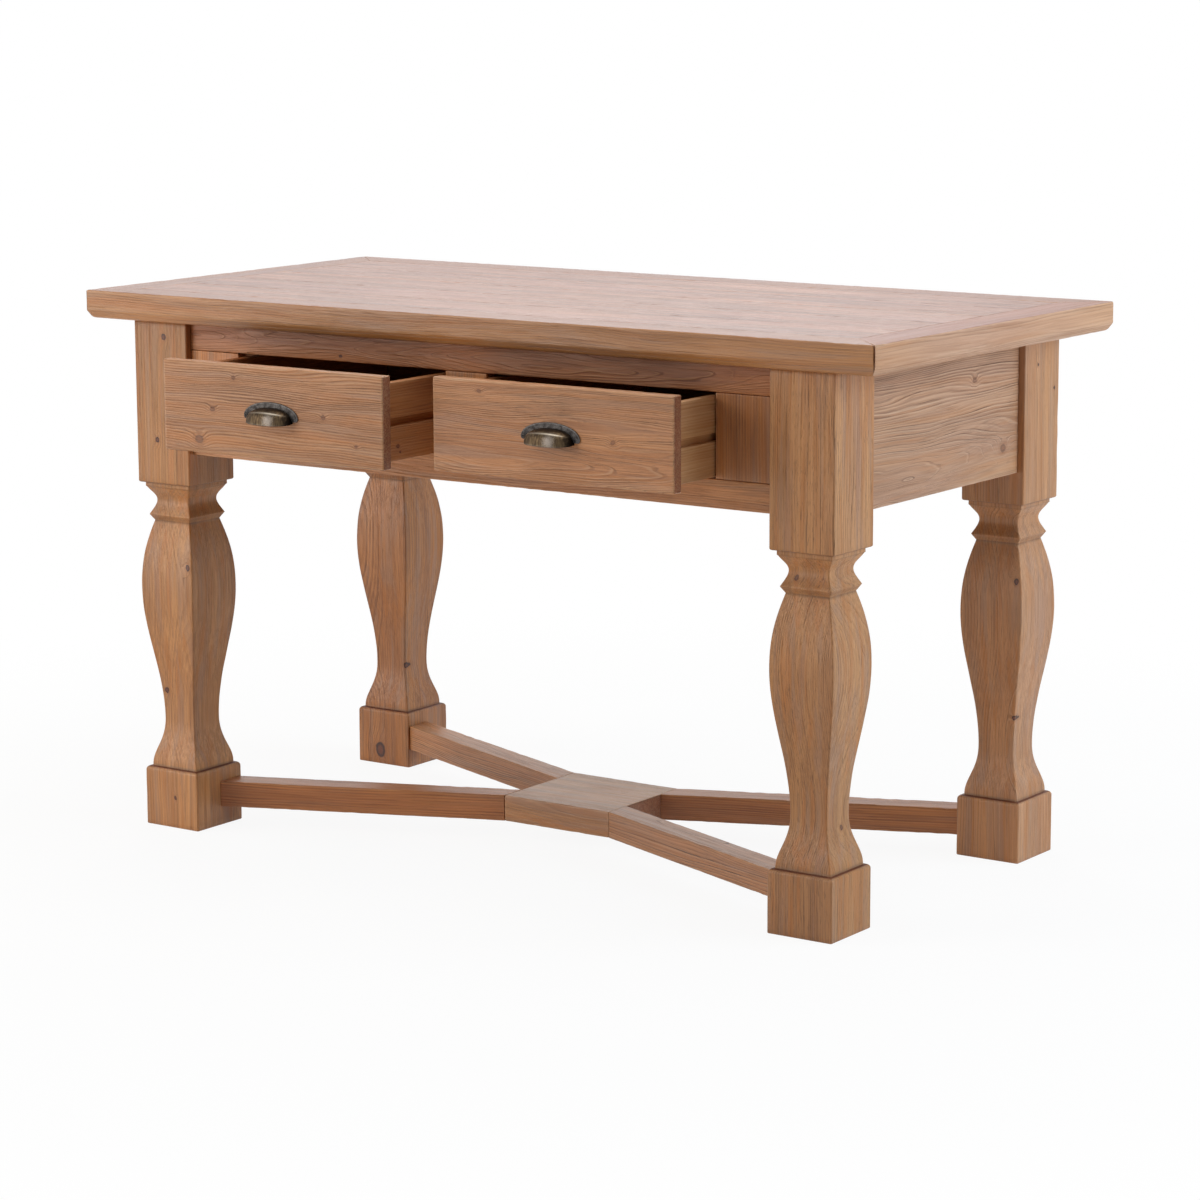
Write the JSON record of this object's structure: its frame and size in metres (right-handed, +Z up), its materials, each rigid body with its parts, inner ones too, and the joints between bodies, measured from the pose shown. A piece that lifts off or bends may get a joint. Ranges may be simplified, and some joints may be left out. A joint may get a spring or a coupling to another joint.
{
  "type": "kitchen island",
  "caption": "Table-form kitchen island: framed plank worktop on square baluster legs, apron drawers with cup pulls that slide out, and a low crossed stretcher.",
  "frame": {"origin": "on the floor, under the middle of the whole outline with both drawers standing open", "axes": "+X along the worktop's length, -Y out of the drawer fronts, +Z up"},
  "size_m": [1.514, 0.8968, 0.9],
  "materials": {
    "top_pine": "brushed and limed, matt lacquer",
    "frame_pine": "brushed and limed, matt lacquer",
    "drawer_pine": "sanded, unlimed",
    "aged_brass": "dark patina rubbed bright on the cup"
  },
  "bodies": {
    "base": {"apron_back": "frame_pine", "apron_left": "frame_pine", "apron_right": "frame_pine", "leg_back_left": "frame_pine", "leg_back_right": "frame_pine", "leg_front_left": "frame_pine", "leg_front_right": "frame_pine", "rail_over_drawers": "frame_pine", "rail_under_drawers": "frame_pine", "runner_board_left_inner": "drawer_pine", "runner_board_left_outer": "drawer_pine", "runner_board_right_inner": "drawer_pine", "runner_board_right_outer": "drawer_pine", "runner_left_inner": "drawer_pine", "runner_left_outer": "drawer_pine", "runner_right_inner": "drawer_pine", "runner_right_outer": "drawer_pine", "stile_centre": "frame_pine", "stile_left": "frame_pine", "stile_right": "frame_pine", "stretcher_arm_back_left": "frame_pine", "stretcher_arm_back_right": "frame_pine", "stretcher_arm_front_left": "frame_pine", "stretcher_arm_front_right": "frame_pine", "stretcher_hub": "frame_pine", "top_batten_centre": "drawer_pine", "top_batten_left": "drawer_pine", "top_batten_right": "drawer_pine", "top_border_back": "top_pine", "top_border_front": "top_pine", "top_border_left": "top_pine", "top_border_right": "top_pine", "top_cleat_left": "drawer_pine", "top_cleat_right": "drawer_pine", "top_plank_1": "top_pine", "top_plank_2": "top_pine", "top_plank_3": "top_pine", "top_plank_4": "top_pine", "top_plank_5": "top_pine"},
    "drawer_left": {"drawer_left_back": "drawer_pine", "drawer_left_bottom": "drawer_pine", "drawer_left_cup_pull": "aged_brass", "drawer_left_front": "frame_pine", "drawer_left_pull_screw_left": "aged_brass", "drawer_left_pull_screw_right": "aged_brass", "drawer_left_side_left": "drawer_pine", "drawer_left_side_right": "drawer_pine"},
    "drawer_right": {"drawer_right_back": "drawer_pine", "drawer_right_bottom": "drawer_pine", "drawer_right_cup_pull": "aged_brass", "drawer_right_front": "frame_pine", "drawer_right_pull_screw_left": "aged_brass", "drawer_right_pull_screw_right": "aged_brass", "drawer_right_side_left": "drawer_pine", "drawer_right_side_right": "drawer_pine"}
  },
  "joints": [
    {"name": "drawer_left_slide", "type": "slide", "parent": "base", "child": "drawer_left", "axis": [0, -1, 0], "range_m": [-0.15, 0.21]},
    {"name": "drawer_right_slide", "type": "slide", "parent": "base", "child": "drawer_right", "axis": [0, -1, 0], "range_m": [-0.104, 0.256]}
  ]
}
